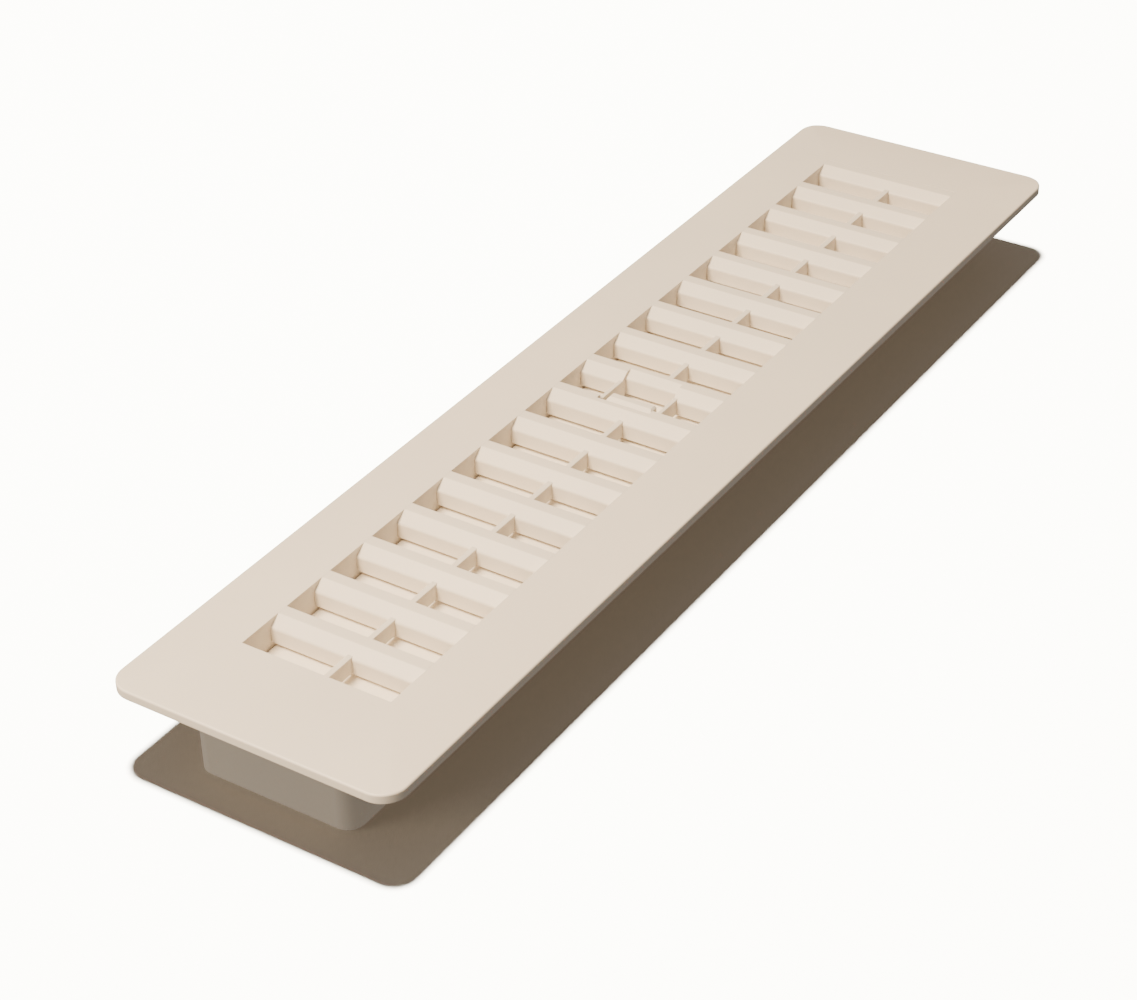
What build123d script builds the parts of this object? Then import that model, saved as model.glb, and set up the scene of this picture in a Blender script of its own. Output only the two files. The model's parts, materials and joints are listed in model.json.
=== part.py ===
"""Louvred floor register for a 2 x 14 in duct opening, with a linked multi-blade damper.

Frame: X across the register, Y along it, Z up. The origin is at floor level, below the middle
of the faceplate, where the duct collar's lower rim stands. The thumb lever's side is -Y.
"""
import os

from build123d import *

os.makedirs("parts", exist_ok=True)

# ---- faceplate: a flange whose four borders slope up to the louvre field
plate_length = 362.0
plate_width = 87.0
plate_corner_radius = 7.0
plate_edge_height = 2.8        # the flange's visible edge
plate_rise = 1.6               # from the flange's edge up to the louvre field
plate_edge_top = 25.6          # height of the flange's upper edge above the collar's rim
pocket_ceiling = 1.5           # depth of the lightening pockets under the flange
flange_rim = 2.2               # solid width left round the outside of the pockets
flange_rib = 1.4               # and between two pockets
pocket_margin = 2.5            # and between a pocket and the collar
side_pockets = 9               # along each long border

# ---- louvre field
row_count = 17
row_pitch = 18.12
slot_length = 14.6             # along Y, between two lands
field_half_width = 22.9
louver_overhang = 3.6          # how far each louvre's nose reaches over its slot
louver_nose_drop = 2.4
louver_depth = 7.0
louver_nose = slot_length - louver_overhang
louver_nose_radius = 1.0
louver_thickness = 1.8
land_thickness = 1.2
web_drop = 5.0                 # where the fin's far side meets the sloped underside
center_rib_left = 0.9          # X of the centre ribs' left faces
center_rib_thickness = 1.7
rib_drop = 1.9                 # the ribs' tops below the field
rib_bottom = 6.6
rib_web_drop = 4.5             # where a rib's near end meets the web of the louvre before it
rib_run_in = 1.5               # how far a rib's top runs in under that louvre's land

# ---- duct collar, which holds the damper
collar_length = 345.0
collar_width = 49.0
collar_wall = 1.5
collar_corner_radius = 5.0
collar_lead_in = 0.8
cross_wall_height = 3.6        # from the flange seat down
cross_wall_offset = 1.2        # from the end of the louvre field to the wall's middle
wall_overlap = 0.1             # what joins a wall to its neighbour runs this far into it

# ---- damper
pivot_drop = 9.0               # blade pivots below the field
pivot_offset = 1.4             # blade pivots from their slot's near edge
barrel_radius = 1.3
blade_thickness = 1.2
blade_reach = 16.1             # from the pivot to the blade's tip
bead_radius = 0.8              # the rounded bead along the tip
pin_radius = 1.1
pin_inset = 0.1                # pivot pins end this far inside the collar's outer faces
running_clearance = 0.05
crank_y = 3.0                  # crank pin from the pivot, with the damper closed
crank_z = -6.0
crank_pin_radius = 1.0
crank_pin_end = 0.4            # how far the crank pins stand through the tie bar
ear_radius = 1.7
ear_thickness = 1.4
tie_bar_x = 20.0               # X of the tie bar's inner face
tie_bar_height = 4.2
tie_bar_thickness = 1.6
tie_bar_end = 3.2              # from the last crank pin to the end of the bar
tie_bar_corner_radius = 1.6
side_gap = 0.5                 # between the damper and the collar's long walls
ear_gap = 0.8                  # between the ears and the tie bar

# ---- thumb lever and its bay in the middle row
lever_row = 8
lever_left = -7.0              # X of the lever's two ends
lever_right = 7.6
lever_drop = 0.3               # the lever's flat top below the field
bay_left = -9.1                # X of the bay's two sides
bay_right = 8.3
bay_rib_thickness = 1.2
bay_notch = 1.9                # how far the bay is cut into the near land
bay_setback = 2.6              # how far the louvre stands back behind the bay
bay_nose_drop = 1.8

# ---- worked out from the above
flange_seat = plate_edge_top - plate_edge_height
field_top = plate_edge_top + plate_rise
first_slot = -((row_count - 1) * row_pitch + slot_length) / 2
field_end = first_slot + row_count * row_pitch
pivot_z = field_top - pivot_drop
inner_half_width = collar_width / 2 - collar_wall
collar_face = collar_width / 2
blade_left = -inner_half_width + side_gap
barrel_right = inner_half_width - side_gap
blade_right = tie_bar_x - ear_gap
lever_slot = first_slot + lever_row * row_pitch


def slot_start(row):
    """Y of a slot's near edge."""
    return first_slot + row * row_pitch


def pivot_y(row):
    """Y of a blade's pivot."""
    return slot_start(row) + pivot_offset


def finish(builder, name):
    """Label a finished piece and write it to its own STEP file."""
    builder.part.label = name
    export_step(builder.part, f"parts/{name}.step")


# ================================================================ faceplate
pocket_width = (plate_width - 2 * flange_rim) / 2 - collar_face - pocket_margin
pocket_x = collar_face + pocket_margin + pocket_width / 2
side_pocket_pitch = (plate_length - 2 * flange_rim) / side_pockets
side_pocket_length = side_pocket_pitch - flange_rib
tongue_y = 161.5
tongue_width = 6.0
tongue_thickness = 1.6
tongue_gap = 0.3               # between a tongue and the collar's wall
tongue_root = 0.5              # how far the tongue runs into the flange, and the barb into it
tongue_face = inner_half_width - tongue_gap
barb_top = 16.5
barb_height = 3.5
barb_reach = 1.2               # past the tongue's face, into the collar's window
tongue_bottom = barb_top - barb_height

with BuildPart() as faceplate:
    # the flange's straight edge, then the four sloped borders as a low hipped frustum
    with BuildSketch(Plane.XY.offset(flange_seat)):
        Rectangle(plate_width, plate_length)
    extrude(amount=plate_edge_height)
    with BuildSketch(Plane.XY.offset(plate_edge_top)):
        Rectangle(plate_width, plate_length)
    with BuildSketch(Plane.XY.offset(field_top)):
        with Locations((0, (first_slot + field_end) / 2)):
            Rectangle(2 * field_half_width, field_end - first_slot)
    loft(ruled=True)
    # rounded corners in plan
    with BuildSketch(Plane.XY.offset(flange_seat)):
        RectangleRounded(plate_width, plate_length, plate_corner_radius)
    extrude(amount=plate_edge_height + plate_rise, mode=Mode.INTERSECT)
    # the opening that the louvres fill
    with BuildSketch(Plane.XY.offset(flange_seat)):
        with Locations((0, (first_slot + field_end) / 2)):
            Rectangle(2 * field_half_width, field_end - first_slot)
    extrude(amount=plate_edge_height + plate_rise, mode=Mode.SUBTRACT)
    # lightening pockets under the two long borders, with ribs left between them
    with BuildSketch(Plane.XY.offset(flange_seat)):
        with GridLocations(2 * pocket_x, side_pocket_pitch, 2, side_pockets):
            Rectangle(pocket_width, side_pocket_length)
    extrude(amount=pocket_ceiling, mode=Mode.SUBTRACT)
    # four snap tongues that hang inside the collar's long walls
    for side in (-1, 1):
        for end in (-1, 1):
            with BuildSketch(Plane.XY.offset(tongue_bottom)):
                with Locations((side * (tongue_face - tongue_thickness / 2), end * tongue_y)):
                    Rectangle(tongue_thickness, tongue_width)
            extrude(amount=flange_seat - tongue_bottom + tongue_root)
            with BuildSketch(Plane.XZ.offset(-end * tongue_y - tongue_width / 2)):
                with BuildLine():
                    Polyline(
                        (side * (tongue_face - tongue_root), tongue_bottom),
                        (side * tongue_face, tongue_bottom),
                        (side * (tongue_face + barb_reach), barb_top),
                        (side * (tongue_face - tongue_root), barb_top),
                        close=True,
                    )
                make_face()
            extrude(amount=tongue_width)
finish(faceplate, "faceplate")


# ================================================================ fixed louvres
def louver_outline(row, top_start, nose, nose_drop):
    """Corner points of one louvre's section, in (Y, Z), counted from its slot's near edge."""
    start = slot_start(row)
    points = [
        (top_start, 0.0),
        (row_pitch, 0.0),
        (row_pitch, -land_thickness),
        (nose + louver_thickness, -web_drop),
        (nose + louver_thickness, -louver_depth),
        (nose, -louver_depth),
        (nose, -nose_drop),
    ]
    return [(start + y, field_top + z) for y, z in points]


def make_louver_length(outline, left, right):
    """One length of louvre between two X positions, with its nose rounded."""
    with BuildPart() as length:
        with BuildSketch(Plane.YZ.offset(left)):
            with BuildLine():
                Polyline(*outline, close=True)
            make_face()
        extrude(amount=right - left)
        nose_y, nose_z = outline[-1]
        nose = length.edges().filter_by(Axis.X).sort_by_distance((0, nose_y, nose_z))[0]
        fillet(nose, louver_nose_radius)
    return length


def make_louver(row):
    """A fixed louvre: a flat land, a sloped nose and a hanging fin."""
    outline = louver_outline(row, slot_length, louver_nose, louver_nose_drop)
    lengths = [(outline, -field_half_width, field_half_width)]
    if row == lever_row:
        # behind the lever bay the louvre stands back, to let the lever swing
        bay_nose = louver_nose + bay_setback
        bay_outline = louver_outline(row, slot_length + bay_notch, bay_nose, bay_nose_drop)
        lengths = [
            (outline, -field_half_width, bay_left),
            (bay_outline, bay_left, bay_right),
            (outline, bay_right, field_half_width),
        ]
    with BuildPart() as louver:
        for section, left, right in lengths:
            add(make_louver_length(section, left, right).part)
        if row == lever_row - 1:
            # the lever bay is cut a little way into this land
            with BuildSketch(Plane.XY.offset(field_top - 2 * land_thickness)):
                with Locations(((bay_left + bay_right) / 2, lever_slot - bay_notch / 2)):
                    Rectangle(bay_right - bay_left, bay_notch)
            extrude(amount=3 * land_thickness, mode=Mode.SUBTRACT)
    return louver


louvers = [make_louver(row) for row in range(row_count)]
for row in range(row_count):
    finish(louvers[row], f"louver_{row + 1:02d}")


# ================================================================ ribs between the louvres
def rib_outline(row):
    """A rib's outline in (Y, Z), which runs a little way into the louvres at both ends."""
    start = slot_start(row)
    fin_middle = louver_nose + louver_thickness / 2
    if row == 0:
        near = [(0.0, -rib_drop), (0.0, -rib_bottom)]
    else:
        near_web = fin_middle - row_pitch
        if row == lever_row + 1:
            near_web += bay_setback
        near = [(-rib_run_in, -rib_drop), (near_web, -rib_web_drop), (near_web, -rib_bottom)]
    # the bay's ribs reach back to the fin that stands back behind the bay
    inside = fin_middle + bay_setback if row == lever_row else fin_middle
    slope = louver_overhang / louver_nose_drop
    far = [(inside, -rib_bottom), (inside, -louver_nose_drop)]
    far.append((inside + slope * (louver_nose_drop - rib_drop), -rib_drop))
    return [(start + y, field_top + z) for y, z in near + far]


def make_ribs(places, thickness):
    """Ribs at each (row, left face), trimmed to the louvres in front of and behind them."""
    with BuildPart() as ribs:
        for row, left in places:
            with BuildSketch(Plane.YZ.offset(left)):
                with BuildLine():
                    Polyline(*rib_outline(row), close=True)
                make_face()
            extrude(amount=thickness)
            add(louvers[row].part, mode=Mode.SUBTRACT)
            if row > 0:
                add(louvers[row - 1].part, mode=Mode.SUBTRACT)
    return ribs


center_places = [(row, center_rib_left) for row in range(row_count) if row != lever_row]
bay_places = [(lever_row, bay_left - bay_rib_thickness), (lever_row, bay_right)]
finish(make_ribs(center_places, center_rib_thickness), "center_ribs")
finish(make_ribs(bay_places, bay_rib_thickness), "lever_bay_ribs")


# ================================================================ duct collar
window_clearance = 0.1         # above and below a barb
window_side_clearance = 0.5
window_height = barb_height + 2 * window_clearance
window_z = tongue_bottom + barb_height / 2
cross_wall_y = (first_slot - cross_wall_offset, field_end + cross_wall_offset)
with BuildPart() as duct_collar:
    with BuildSketch():
        RectangleRounded(collar_width, collar_length, collar_corner_radius)
    extrude(amount=flange_seat)
    rim = duct_collar.faces().sort_by(Axis.Z)[0].edges()
    chamfer(rim, collar_lead_in)
    with BuildSketch():
        RectangleRounded(
            collar_width - 2 * collar_wall,
            collar_length - 2 * collar_wall,
            collar_corner_radius - collar_wall,
        )
    extrude(amount=flange_seat, mode=Mode.SUBTRACT)
    # cross walls that close the space beside the first and the last louvre
    with BuildSketch(Plane.XY.offset(flange_seat - cross_wall_height)):
        with Locations(*[(0, y) for y in cross_wall_y]):
            Rectangle(2 * (inner_half_width + wall_overlap), collar_wall)
    extrude(amount=cross_wall_height)
    # a bearing hole for each blade in both long walls
    with BuildSketch(Plane.YZ.offset(-collar_face)):
        with Locations(*[(pivot_y(row), pivot_z) for row in range(row_count)]):
            Circle(pin_radius + running_clearance)
    extrude(amount=collar_width, mode=Mode.SUBTRACT)
    # windows that the faceplate's barbs snap into
    with BuildSketch(Plane.YZ.offset(-collar_face)):
        with Locations((-tongue_y, window_z), (tongue_y, window_z)):
            Rectangle(tongue_width + 2 * window_side_clearance, window_height)
    extrude(amount=collar_width, mode=Mode.SUBTRACT)
finish(duct_collar, "duct_collar")


# ================================================================ damper blades
stud_x = 5.0                   # the thumb lever's studs, from the middle and from the pivot
stud_y = 4.6
stud_radius = 1.2
leaf_length = blade_reach - bead_radius


def make_blade(row):
    """A blade with its barrel, two pivot pins, and an ear with the tie bar's crank pin."""
    y = pivot_y(row)
    with BuildPart() as blade:
        # the leaf, with a rounded bead along its tip
        with BuildSketch(Plane.YZ.offset(blade_left)):
            with Locations((y + leaf_length / 2, pivot_z)):
                Rectangle(leaf_length, blade_thickness)
            with Locations((y + leaf_length, pivot_z)):
                Circle(bead_radius)
        extrude(amount=blade_right - blade_left)
        with BuildSketch(Plane.YZ.offset(blade_left)):
            with Locations((y, pivot_z)):
                Circle(barrel_radius)
        extrude(amount=barrel_right - blade_left)
        # pivot pins, which end just inside the collar's outer faces
        with BuildSketch(Plane.YZ.offset(-collar_face + pin_inset)):
            with Locations((y, pivot_z)):
                Circle(pin_radius)
        extrude(amount=collar_width - 2 * pin_inset)
        # the ear and its crank pin
        with BuildSketch(Plane.YZ.offset(blade_right - ear_thickness)):
            with Locations((y, pivot_z)):
                Circle(barrel_radius)
            with Locations((y + crank_y, pivot_z + crank_z)):
                Circle(ear_radius)
            make_hull()
        extrude(amount=ear_thickness)
        with BuildSketch(Plane.YZ.offset(blade_right)):
            with Locations((y + crank_y, pivot_z + crank_z)):
                Circle(crank_pin_radius)
        extrude(amount=ear_gap + tie_bar_thickness + crank_pin_end)
        if row == lever_row:
            # two holes for the thumb lever's studs
            with BuildSketch(Plane.XY.offset(pivot_z - blade_thickness)):
                with Locations((-stud_x, y + stud_y), (stud_x, y + stud_y)):
                    Circle(stud_radius)
            extrude(amount=2 * blade_thickness, mode=Mode.SUBTRACT)
    return blade


for row in range(row_count):
    blade_name = "drive_blade" if row == lever_row else f"damper_blade_{row + 1:02d}"
    finish(make_blade(row), blade_name)


# ================================================================ thumb lever
lever_plane = Plane(
    origin=(lever_left, pivot_y(lever_row), pivot_z), x_dir=(0, 1, 0), z_dir=(1, 0, 0)
)
half_blade = blade_thickness / 2
lever_top = pivot_drop - lever_drop
pad_underside = lever_top - 1.9
pad_near = -2.3                # the pad's near edge, from the pivot, and its upright face
pad_near_height = 0.6
pad_flat_start = -0.4          # the flat top's two edges
pad_flat_end = 1.6
pad_far = 1.9
pad_far_height = 1.5
stem_half = 1.0                # half the stem's thickness
stem_top = lever_top - 3.0
web_start = (stem_half, 3.4)   # the web that carries the stem into the foot
web_end = (2.2, 1.9)
foot_reach = 7.2
foot_top = 1.6
foot_heel = 1.45               # the foot's near end, clear of the barrel
barrel_clearance_height = 1.5
stud_head_radius = 1.9
stud_head_height = 0.8
end_bevel = 0.6
studs = [(-stud_x, pivot_y(lever_row) + stud_y), (stud_x, pivot_y(lever_row) + stud_y)]

with BuildPart() as thumb_lever:
    # the thumb pad has a flat top and a long slope towards -Y; the stem stands over the barrel
    # and turns into a foot that lies on the drive blade
    with BuildSketch(lever_plane):
        with BuildLine():
            Polyline(
                (pad_near, pad_underside),
                (pad_near, pad_underside + pad_near_height),
                (pad_flat_start, lever_top),
                (pad_flat_end, lever_top),
                (pad_far, pad_underside + pad_far_height),
                (pad_far, pad_underside),
                (stem_half, stem_top),
                web_start,
                web_end,
                (foot_reach, foot_top),
                (foot_reach, half_blade),
                (foot_heel, half_blade),
                (foot_heel, barrel_clearance_height),
                (-stem_half, barrel_clearance_height),
                (-stem_half, stem_top),
                close=True,
            )
        make_face()
    extrude(amount=lever_right - lever_left)
    ends = thumb_lever.edges().filter_by(Axis.Y).group_by(Axis.Z)[-1]
    chamfer(ends, end_bevel)
    # studs through the blade, headed on its underside
    with BuildSketch(Plane.XY.offset(pivot_z - half_blade)):
        with Locations(*studs):
            Circle(stud_radius)
    extrude(amount=(half_blade + foot_top) / 2 + half_blade)
    with BuildSketch(Plane.XY.offset(pivot_z - half_blade - stud_head_height)):
        with Locations(*studs):
            Circle(stud_head_radius)
    extrude(amount=stud_head_height)
finish(thumb_lever, "thumb_lever")


# ================================================================ tie bar
crank_height = pivot_z + crank_z
tie_bar_length = (row_count - 1) * row_pitch + 2 * tie_bar_end
with BuildPart() as tie_bar:
    with BuildSketch(Plane.YZ.offset(tie_bar_x)):
        with Locations((pivot_y(lever_row) + crank_y, crank_height)):
            RectangleRounded(tie_bar_length, tie_bar_height, tie_bar_corner_radius)
        with Locations(*[(pivot_y(row) + crank_y, crank_height) for row in range(row_count)]):
            Circle(crank_pin_radius + running_clearance, mode=Mode.SUBTRACT)
    extrude(amount=tie_bar_thickness)
finish(tie_bar, "tie_bar")
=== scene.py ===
"""The looks of the louvred floor register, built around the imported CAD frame."""
import json
import math

import bmesh
import bpy
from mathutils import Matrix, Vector

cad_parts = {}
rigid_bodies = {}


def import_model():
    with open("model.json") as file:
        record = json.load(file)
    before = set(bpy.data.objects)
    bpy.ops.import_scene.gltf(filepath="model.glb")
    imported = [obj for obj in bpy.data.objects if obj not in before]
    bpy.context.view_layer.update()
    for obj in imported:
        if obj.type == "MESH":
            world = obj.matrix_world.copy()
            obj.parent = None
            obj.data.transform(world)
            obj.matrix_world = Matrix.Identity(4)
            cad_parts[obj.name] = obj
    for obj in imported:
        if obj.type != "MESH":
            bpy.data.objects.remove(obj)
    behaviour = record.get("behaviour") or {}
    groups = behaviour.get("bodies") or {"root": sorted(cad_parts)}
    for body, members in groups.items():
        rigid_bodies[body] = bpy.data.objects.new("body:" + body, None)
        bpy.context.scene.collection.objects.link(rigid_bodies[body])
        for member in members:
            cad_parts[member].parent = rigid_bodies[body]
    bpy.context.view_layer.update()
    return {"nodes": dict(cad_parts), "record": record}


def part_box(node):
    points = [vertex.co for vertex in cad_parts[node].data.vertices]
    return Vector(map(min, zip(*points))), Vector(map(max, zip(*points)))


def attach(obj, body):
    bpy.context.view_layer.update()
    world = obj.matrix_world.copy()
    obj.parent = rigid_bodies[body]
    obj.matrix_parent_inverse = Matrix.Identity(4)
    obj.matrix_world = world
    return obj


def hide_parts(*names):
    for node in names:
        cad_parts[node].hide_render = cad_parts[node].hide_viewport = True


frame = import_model()
nodes = frame["nodes"]

MM = 0.001
ALMOND = (0.82, 0.74, 0.635)


# ================================================================ materials
def moulded_plastic(name, color, grain=1.0, wear=1.0, rough=0.42, seed=0.0):
    """Satin moulded plastic: fine spark-eroded grain, faint flow bands, dust and handling wear."""
    material = bpy.data.materials.new(name)
    material.use_nodes = True
    tree = material.node_tree
    tree.nodes.clear()
    out = tree.nodes.new("ShaderNodeOutputMaterial")
    shader = tree.nodes.new("ShaderNodeBsdfPrincipled")
    tree.links.new(shader.outputs["BSDF"], out.inputs["Surface"])
    shader.inputs["IOR"].default_value = 1.49
    shader.inputs["Specular IOR Level"].default_value = 0.42
    shader.inputs["Subsurface Weight"].default_value = 0.15
    shader.inputs["Subsurface Scale"].default_value = 0.0015
    shader.inputs["Subsurface Radius"].default_value = (1.0, 0.88, 0.76)

    coords = tree.nodes.new("ShaderNodeTexCoord")
    place = tree.nodes.new("ShaderNodeMapping")
    place.inputs["Location"].default_value = (seed, seed * 0.37, seed * 0.71)
    tree.links.new(coords.outputs["Object"], place.inputs["Vector"])

    def noise(scale, detail, roughness=0.55, distortion=0.0):
        node = tree.nodes.new("ShaderNodeTexNoise")
        node.inputs["Scale"].default_value = scale
        node.inputs["Detail"].default_value = detail
        node.inputs["Roughness"].default_value = roughness
        node.inputs["Distortion"].default_value = distortion
        tree.links.new(place.outputs["Vector"], node.inputs["Vector"])
        return node

    def remap(source, low, high, new_low, new_high):
        node = tree.nodes.new("ShaderNodeMapRange")
        node.inputs["From Min"].default_value = low
        node.inputs["From Max"].default_value = high
        node.inputs["To Min"].default_value = new_low
        node.inputs["To Max"].default_value = new_high
        tree.links.new(source, node.inputs["Value"])
        return node.outputs["Result"]

    cloud = noise(14.0, 3.0)
    fleck = noise(900.0, 2.0, 0.7)
    flow = noise(38.0, 5.0, 0.6, 1.4)
    spark = noise(2600.0, 2.0, 0.65)
    scuff = noise(210.0, 6.0, 0.75, 0.6)

    # broad colour drift of the resin, then tiny flecks of pigment
    drift = tree.nodes.new("ShaderNodeMix")
    drift.data_type = "RGBA"
    drift.inputs["A"].default_value = (*[c * 0.955 for c in color], 1.0)
    warm = (color[0] * 1.03, color[1] * 1.025, color[2] * 1.0, 1.0)
    drift.inputs["B"].default_value = warm
    tree.links.new(remap(cloud.outputs["Fac"], 0.3, 0.7, 0.0, 1.0), drift.inputs["Factor"])
    specks = tree.nodes.new("ShaderNodeMix")
    specks.data_type = "RGBA"
    specks.inputs["B"].default_value = (*[c * 0.90 for c in color], 1.0)
    tree.links.new(drift.outputs["Result"], specks.inputs["A"])
    amount = remap(fleck.outputs["Fac"], 0.60, 0.78, 0.0, 0.35)
    tree.links.new(amount, specks.inputs["Factor"])
    # handling wear: faint darker scuffs
    worn = tree.nodes.new("ShaderNodeMix")
    worn.data_type = "RGBA"
    worn.inputs["B"].default_value = (color[0] * 0.86, color[1] * 0.83, color[2] * 0.79, 1.0)
    tree.links.new(specks.outputs["Result"], worn.inputs["A"])
    amount = remap(scuff.outputs["Fac"], 0.66, 0.86, 0.0, 0.30 * wear)
    tree.links.new(amount, worn.inputs["Factor"])
    tree.links.new(worn.outputs["Result"], shader.inputs["Base Color"])

    # roughness follows the flow bands
    tree.links.new(
        remap(flow.outputs["Fac"], 0.3, 0.75, rough - 0.05, rough + 0.09),
        shader.inputs["Roughness"],
    )

    # fine grain over slight sink marks
    fine = tree.nodes.new("ShaderNodeBump")
    fine.inputs["Strength"].default_value = 0.16 * grain
    fine.inputs["Distance"].default_value = 0.00006
    tree.links.new(spark.outputs["Fac"], fine.inputs["Height"])
    broad = tree.nodes.new("ShaderNodeBump")
    broad.inputs["Strength"].default_value = 0.12
    broad.inputs["Distance"].default_value = 0.0004
    tree.links.new(flow.outputs["Fac"], broad.inputs["Height"])
    tree.links.new(broad.outputs["Normal"], fine.inputs["Normal"])
    tree.links.new(fine.outputs["Normal"], shader.inputs["Normal"])
    return material


plastics = {
    "faceplate_plastic": moulded_plastic("faceplate_plastic", ALMOND, seed=1.3),
    "louver_plastic": moulded_plastic("louver_plastic", ALMOND, seed=2.1, wear=0.8),
    "collar_plastic": moulded_plastic("collar_plastic", ALMOND, seed=3.7, rough=0.46),
    # the damper blades get a lighter cream than the almond of the other pieces: painted light,
    # standing in for the brightly lit strip of blade seen deep in the slots
    "damper_plastic": moulded_plastic(
        "damper_plastic", (0.94, 0.86, 0.755), seed=4.9, grain=0.8, rough=0.40
    ),
    "lever_plastic": moulded_plastic("lever_plastic", ALMOND, seed=5.2, wear=1.5, rough=0.38),
    "tie_bar_plastic": moulded_plastic("tie_bar_plastic", ALMOND, seed=6.4, grain=0.8),
}
slot_of = {s["node"]: s["material_slot"] for s in frame["record"]["subparts"]}


# ================================================================ softened pieces
def body_of(node):
    """The CAD body that a node rides on."""
    for body, members in frame["record"]["behaviour"]["bodies"].items():
        if node in members:
            return body
    raise KeyError(node)


def along_x(edge):
    """True for an edge that runs across the register."""
    first, second = (v.co for v in edge.verts)
    return abs(first.y - second.y) + abs(first.z - second.z) < 1e-5


def on_rib_top(edge):
    """True for the long upper edges of the ribs, which stand free between two louvres."""
    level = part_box("center_ribs")[1].z
    return all(abs(v.co.z - level) < 2e-5 for v in edge.verts) and not along_x(edge)


def softened(node, radius, segments=2, sharp=25.0, only=None):
    """A copy of a CAD node's shape whose edges are rounded as a mould rounds them."""
    mesh = bpy.data.meshes.new(node + "_moulded")
    work = bmesh.new()
    work.from_mesh(nodes[node].data)
    bmesh.ops.remove_doubles(work, verts=work.verts, dist=2e-6)
    bmesh.ops.dissolve_limit(
        work, angle_limit=math.radians(0.6), use_dissolve_boundaries=False,
        verts=work.verts, edges=work.edges, delimit={"NORMAL"},
    )
    bmesh.ops.recalc_face_normals(work, faces=work.faces)
    edges = [
        e for e in work.edges
        if len(e.link_faces) == 2 and e.calc_face_angle(0.0) > math.radians(sharp)
        and (only is None or only(e))
    ]
    bmesh.ops.bevel(
        work, geom=edges, offset=radius, offset_type="OFFSET", segments=segments,
        profile=0.5, affect="EDGES", clamp_overlap=True,
    )
    bmesh.ops.remove_doubles(work, verts=work.verts, dist=1e-6)
    bmesh.ops.dissolve_degenerate(work, edges=work.edges, dist=1e-6)
    for face in work.faces:
        face.smooth = True
    work.to_mesh(mesh)
    work.free()
    piece = bpy.data.objects.new(node + "_moulded", mesh)
    bpy.context.scene.collection.objects.link(piece)
    mesh.set_sharp_from_angle(angle=math.radians(32))
    modifier = piece.modifiers.new("normals", "WEIGHTED_NORMAL")
    modifier.keep_sharp = True
    modifier.weight = 60
    mesh.materials.append(plastics[slot_of[node]])
    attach(piece, body_of(node))
    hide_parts(node)
    return piece


# ================================================================ faceplate
def rounded_loop(half_x, half_y, radius, steps=10):
    """Points around a rounded rectangle, counter-clockwise, with steps + 1 points a corner."""
    points = []
    for index, (sx, sy) in enumerate(((1, 1), (-1, 1), (-1, -1), (1, -1))):
        cx, cy = sx * (half_x - radius), sy * (half_y - radius)
        for step in range(steps + 1):
            angle = math.radians(90.0 * (index + step / steps))
            points.append((cx + radius * math.cos(angle), cy + radius * math.sin(angle)))
    return points


def cut(piece, cutters):
    """Cut closed meshes out of a piece and keep the result as its mesh."""
    for cutter in cutters:
        modifier = piece.modifiers.new("cut", "BOOLEAN")
        modifier.operation = "DIFFERENCE"
        modifier.solver = "EXACT"
        modifier.object = cutter
    bpy.context.view_layer.update()
    depsgraph = bpy.context.evaluated_depsgraph_get()
    result = bpy.data.meshes.new_from_object(piece.evaluated_get(depsgraph))
    piece.modifiers.clear()
    piece.data = result
    for cutter in cutters:
        bpy.data.objects.remove(cutter)


def block(name, low, high, radius):
    """A closed box in millimetres whose edges are rounded."""
    mesh = bpy.data.meshes.new(name)
    work = bmesh.new()
    bmesh.ops.create_cube(work, size=1.0)
    for vert in work.verts:
        for axis in range(3):
            vert.co[axis] = (low[axis] if vert.co[axis] < 0 else high[axis]) * MM
    bmesh.ops.bevel(
        work, geom=work.edges[:], offset=radius * MM, offset_type="OFFSET", segments=3,
        profile=0.5, affect="EDGES", clamp_overlap=True,
    )
    work.to_mesh(mesh)
    work.free()
    piece = bpy.data.objects.new(name, mesh)
    bpy.context.scene.collection.objects.link(piece)
    return piece


low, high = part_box("faceplate")
HALF_X, HALF_Y = high.x / MM, high.y / MM
FIELD_TOP = high.z / MM
PLATE_RISE = 1.6
PLATE_EDGE = 2.8
EDGE_TOP, SEAT = FIELD_TOP - PLATE_RISE, FIELD_TOP - PLATE_RISE - PLATE_EDGE
FIELD_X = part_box("louver_01")[1].x / MM
FIELD_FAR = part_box("louver_17")[1].y / MM
FIELD_NEAR = -152.26
CORNER_RADIUS = 7.0
FLANGE_RIM = 2.2
FLANGE_RIB = 1.4
SIDE_POCKETS = 9
POCKET_INNER_X = 27.0
POCKET_DEPTH = 1.5
POCKET_RADIUS = 0.7


def plate_height(x, y):
    """Height of the sloped borders above a point of the plan, in millimetres."""
    share = min(
        (HALF_X - abs(x)) / (HALF_X - FIELD_X),
        (HALF_Y - y) / (HALF_Y - FIELD_FAR),
        (HALF_Y + y) / (HALF_Y + FIELD_NEAR),
        1.0,
    )
    return EDGE_TOP + (FIELD_TOP - EDGE_TOP) * share


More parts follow.
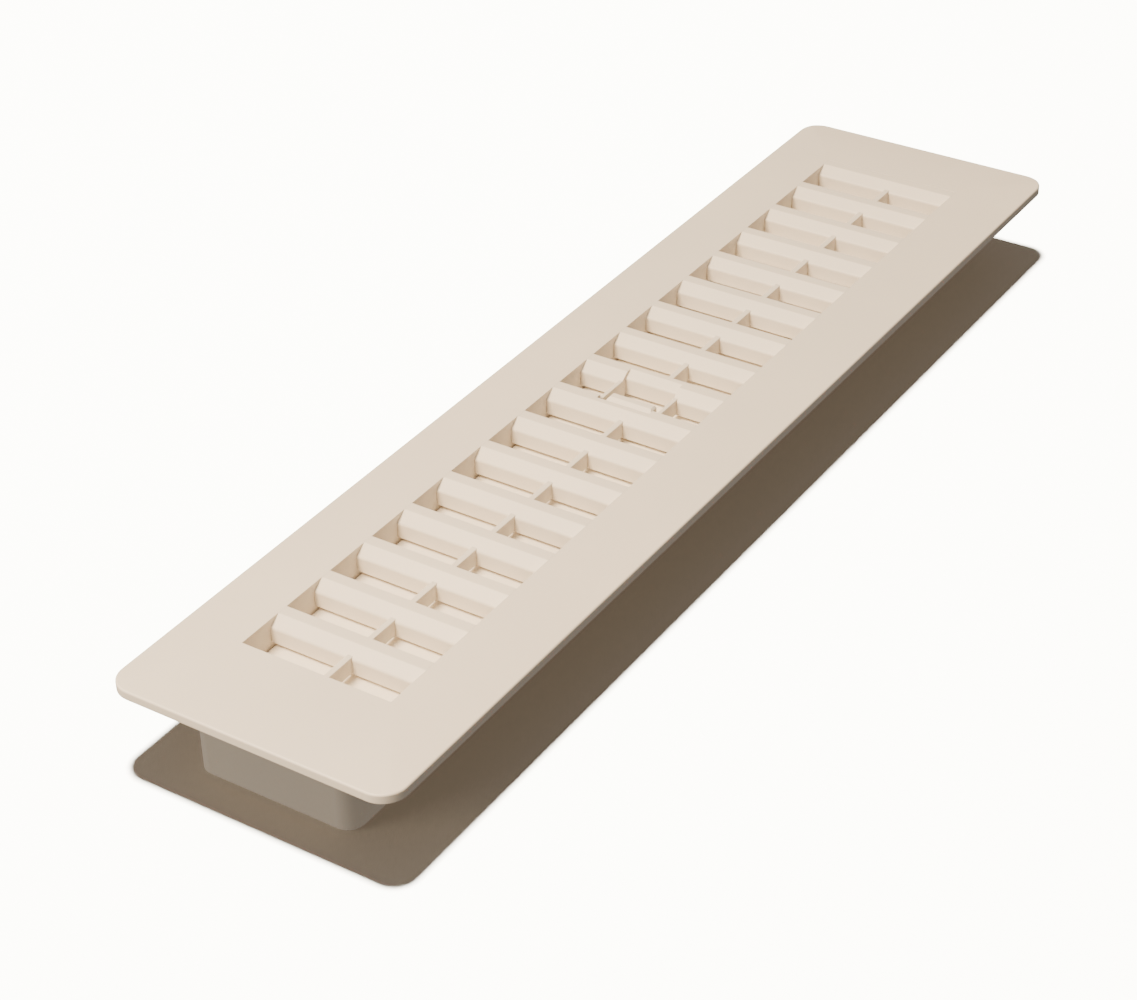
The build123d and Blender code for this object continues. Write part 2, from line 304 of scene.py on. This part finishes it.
def make_faceplate():
    """The flange, its rounded rim, four sloped borders and the rim of the louvre opening."""
    work = bmesh.new()
    steps = 10
    under, over, lip = 0.3, 0.55, 0.03
    rings = []

    def outer_ring(inset, lift, from_top):
        """One ring round the outside, lifted from the seat or dropped from the sloped top."""
        radius = CORNER_RADIUS - inset
        ring = []
        for x, y in rounded_loop(HALF_X - inset, HALF_Y - inset, radius, steps):
            z = plate_height(x, y) - lift if from_top else SEAT + lift
            ring.append(work.verts.new((x * MM, y * MM, z * MM)))
        rings.append(ring)

    for step in range(4):
        angle = math.radians(30 * step)
        outer_ring(under * (1 - math.sin(angle)), under * (1 - math.cos(angle)), False)
    for step in range(6):
        angle = math.radians(18 * step)
        outer_ring(over * (1 - math.cos(angle)), over * (1 - math.sin(angle)), True)
    for first, second in zip(rings, rings[1:]):
        for i in range(len(first)):
            j = (i + 1) % len(first)
            work.faces.new((first[i], first[j], second[j], second[i]))

    corners = [(FIELD_X, FIELD_FAR), (-FIELD_X, FIELD_FAR), (-FIELD_X, FIELD_NEAR),
               (FIELD_X, FIELD_NEAR)]
    inner = []
    profile = [(lip, 0.0)]
    for step in range(1, 5):
        angle = math.radians(22.5 * step)
        profile.append((lip * (1 - math.sin(angle)), lip * (1 - math.cos(angle))))
    profile.append((0.0, FIELD_TOP - SEAT))
    for out, drop in profile:
        ring = []
        for x, y in corners:
            px = x + math.copysign(out, x)
            py = y + math.copysign(out, y)
            z = SEAT if drop > 2.0 else plate_height(px, py) - drop
            ring.append(work.verts.new((px * MM, py * MM, z * MM)))
        inner.append(ring)
    for first, second in zip(inner, inner[1:]):
        for i in range(4):
            j = (i + 1) % 4
            work.faces.new((first[i], first[j], second[j], second[i]))

    def bridge(outer, corner_ring, flip):
        """The faces between a rounded ring and a four-cornered one."""
        count = steps + 1
        for c in range(4):
            for step in range(steps):
                face = (outer[c * count + step], outer[c * count + step + 1], corner_ring[c])
                work.faces.new(face[::-1] if flip else face)
            after = (c + 1) % 4
            face = (outer[c * count + steps], outer[after * count], corner_ring[after],
                    corner_ring[c])
            work.faces.new(face[::-1] if flip else face)

    bridge(rings[-1], inner[0], False)
    bridge(rings[0], inner[-1], True)
    bmesh.ops.recalc_face_normals(work, faces=work.faces)
    mesh = bpy.data.meshes.new("faceplate_moulded")
    work.to_mesh(mesh)
    work.free()
    piece = bpy.data.objects.new("faceplate_moulded", mesh)
    bpy.context.scene.collection.objects.link(piece)

    pockets = []
    pitch = 2 * (HALF_Y - FLANGE_RIM) / SIDE_POCKETS
    length = pitch - FLANGE_RIB
    below, ceiling = SEAT - 2 * POCKET_DEPTH, SEAT + POCKET_DEPTH
    for side in (-1, 1):
        for index in range(SIDE_POCKETS):
            y = (index - SIDE_POCKETS // 2) * pitch
            x0, x1 = sorted((side * POCKET_INNER_X, side * (HALF_X - FLANGE_RIM)))
            pockets.append(block(
                "pocket", (x0, y - length / 2, below), (x1, y + length / 2, ceiling),
                POCKET_RADIUS,
            ))
    cut(piece, pockets)
    return piece


def crisp(piece, angle):
    """Smooth shading that stays crisp at edges sharper than an angle, in degrees."""
    mesh = piece.data
    for polygon in mesh.polygons:
        polygon.use_smooth = True
    mesh.set_sharp_from_angle(angle=math.radians(angle))
    modifier = piece.modifiers.new("normals", "WEIGHTED_NORMAL")
    modifier.keep_sharp = True
    modifier.weight = 70


plate = make_faceplate()
plate.data.materials.clear()
plate.data.materials.append(plastics["faceplate_plastic"])
crisp(plate, 30)
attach(plate, "register_frame")
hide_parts("faceplate")

# ================================================================ snap tongues
TONGUE_X, TONGUE_Y = 22.7, 161.5
TONGUE_HALF_WIDTH = 3.0
TONGUE_THICKNESS = 1.6
TONGUE_BOTTOM = 13.0
TONGUE_ROOT = 0.4
BARB_TOP = 16.5
BARB_REACH = 1.2
TONGUE_SOFTNESS = 0.18


def make_tongue(side, end):
    """A snap tongue below the plate, with a barb that faces the collar's wall."""
    name = "tongue_%s_%s" % ("right" if side > 0 else "left", "far" if end > 0 else "near")
    outline = [
        (-TONGUE_THICKNESS, SEAT + TONGUE_ROOT), (-TONGUE_THICKNESS, TONGUE_BOTTOM),
        (0.0, TONGUE_BOTTOM), (BARB_REACH, BARB_TOP), (0.0, BARB_TOP),
        (0.0, SEAT + TONGUE_ROOT),
    ]
    work = bmesh.new()
    faces = []
    for y in (-TONGUE_HALF_WIDTH, TONGUE_HALF_WIDTH):
        faces.append([
            work.verts.new((side * (TONGUE_X + x) * MM, (end * TONGUE_Y + y) * MM, z * MM))
            for x, z in outline
        ])
    work.faces.new(faces[0])
    work.faces.new(faces[1][::-1])
    for i in range(len(outline)):
        j = (i + 1) % len(outline)
        work.faces.new((faces[0][j], faces[0][i], faces[1][i], faces[1][j]))
    bmesh.ops.recalc_face_normals(work, faces=work.faces)
    bmesh.ops.bevel(
        work, geom=work.edges[:], offset=TONGUE_SOFTNESS * MM, offset_type="OFFSET",
        segments=2, profile=0.5, affect="EDGES", clamp_overlap=True,
    )
    mesh = bpy.data.meshes.new(name)
    work.to_mesh(mesh)
    work.free()
    tongue = bpy.data.objects.new(name, mesh)
    bpy.context.scene.collection.objects.link(tongue)
    mesh.materials.append(plastics["faceplate_plastic"])
    crisp(tongue, 35)
    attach(tongue, "register_frame")
    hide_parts("faceplate")


for side in (-1, 1):
    for end in (-1, 1):
        make_tongue(side, end)


# ================================================================ every other piece
# edge radii in millimetres
DEFAULT_RADIUS = 0.2
RADII = {
    "duct_collar": 0.25, "thumb_lever": 0.22, "tie_bar": 0.2,
    "center_ribs": 0.18, "lever_bay_ribs": 0.16,
}
for node in nodes:
    if node == "faceplate":
        continue
    only = None
    if node.startswith("louver"):
        only = along_x
    elif node.endswith("ribs"):
        only = on_rib_top
    softened(node, RADII.get(node, DEFAULT_RADIUS) * MM, only=only)


# ================================================================ floor, light, camera
floor_mesh = bpy.data.meshes.new("studio_floor")
floor_mesh.from_pydata(
    [(-6, -6, 0), (6, -6, 0), (6, 9, 0), (-6, 9, 0)], [], [(0, 1, 2, 3)]
)
floor = bpy.data.objects.new("studio_floor", floor_mesh)
bpy.context.scene.collection.objects.link(floor)
paper = bpy.data.materials.new("studio_paper")
paper.use_nodes = True
paper_shader = paper.node_tree.nodes["Principled BSDF"]
paper_shader.inputs["Base Color"].default_value = (0.68, 0.60, 0.505, 1.0)
paper_shader.inputs["Roughness"].default_value = 0.9
floor_mesh.materials.append(paper)

world = bpy.data.worlds.new("studio_air")
bpy.context.scene.world = world
world.use_nodes = True
background = world.node_tree.nodes["Background"]
background.inputs["Color"].default_value = (1.0, 0.93, 0.84, 1.0)
background.inputs["Strength"].default_value = 0.25


def area_light(name, location, target, size, watts, color):
    """A square studio light, aimed at a point."""
    lamp = bpy.data.lights.new(name, "AREA")
    lamp.shape = "SQUARE"
    lamp.size = size
    lamp.energy = watts
    lamp.color = color
    holder = bpy.data.objects.new(name, lamp)
    holder.location = location
    aim = Vector(target) - Vector(location)
    holder.rotation_euler = aim.to_track_quat("-Z", "Y").to_euler()
    bpy.context.scene.collection.objects.link(holder)
    return holder


# The key lights the part except its collar, and the wash lights the floor alone, which keeps
# the paper white around it. The floor sends no light up to the part. The fill lights all.
part_only = bpy.data.collections.new("part_only")
floor_only = bpy.data.collections.new("floor_only")
floor_only.objects.link(floor)
for piece in bpy.data.objects:
    if piece.type == "MESH" and piece is not floor and "collar" not in piece.name:
        part_only.objects.link(piece)
floor.visible_diffuse = False
floor.visible_glossy = False
key = area_light("key", (-0.33, -0.88, 1.42), (0, 0, 0), 0.62, 85.0, (1.0, 0.82, 0.595))
key.light_linking.receiver_collection = part_only
wash = area_light("floor_wash", (-0.35, 0.1, 3.0), (0, 0.1, 0), 0.25, 2000.0, (0.90, 0.98, 1.0))
wash.light_linking.receiver_collection = floor_only

area_light("fill", (-0.9, -1.3, 0.5), (0, 0, 0), 0.8, 6.5, (1.0, 0.87, 0.74))

camera = bpy.data.cameras.new("camera")
camera.lens = 82.825
camera.sensor_width = 36.0
camera.clip_start = 0.01
camera.clip_end = 50.0
viewer = bpy.data.objects.new("camera", camera)
viewer.location = (0.33497, -0.5398, 0.41778)
viewer.rotation_euler = [math.radians(a) for a in (56.0565, 1.3212, 32.8745)]
bpy.context.scene.collection.objects.link(viewer)
bpy.context.scene.camera = viewer

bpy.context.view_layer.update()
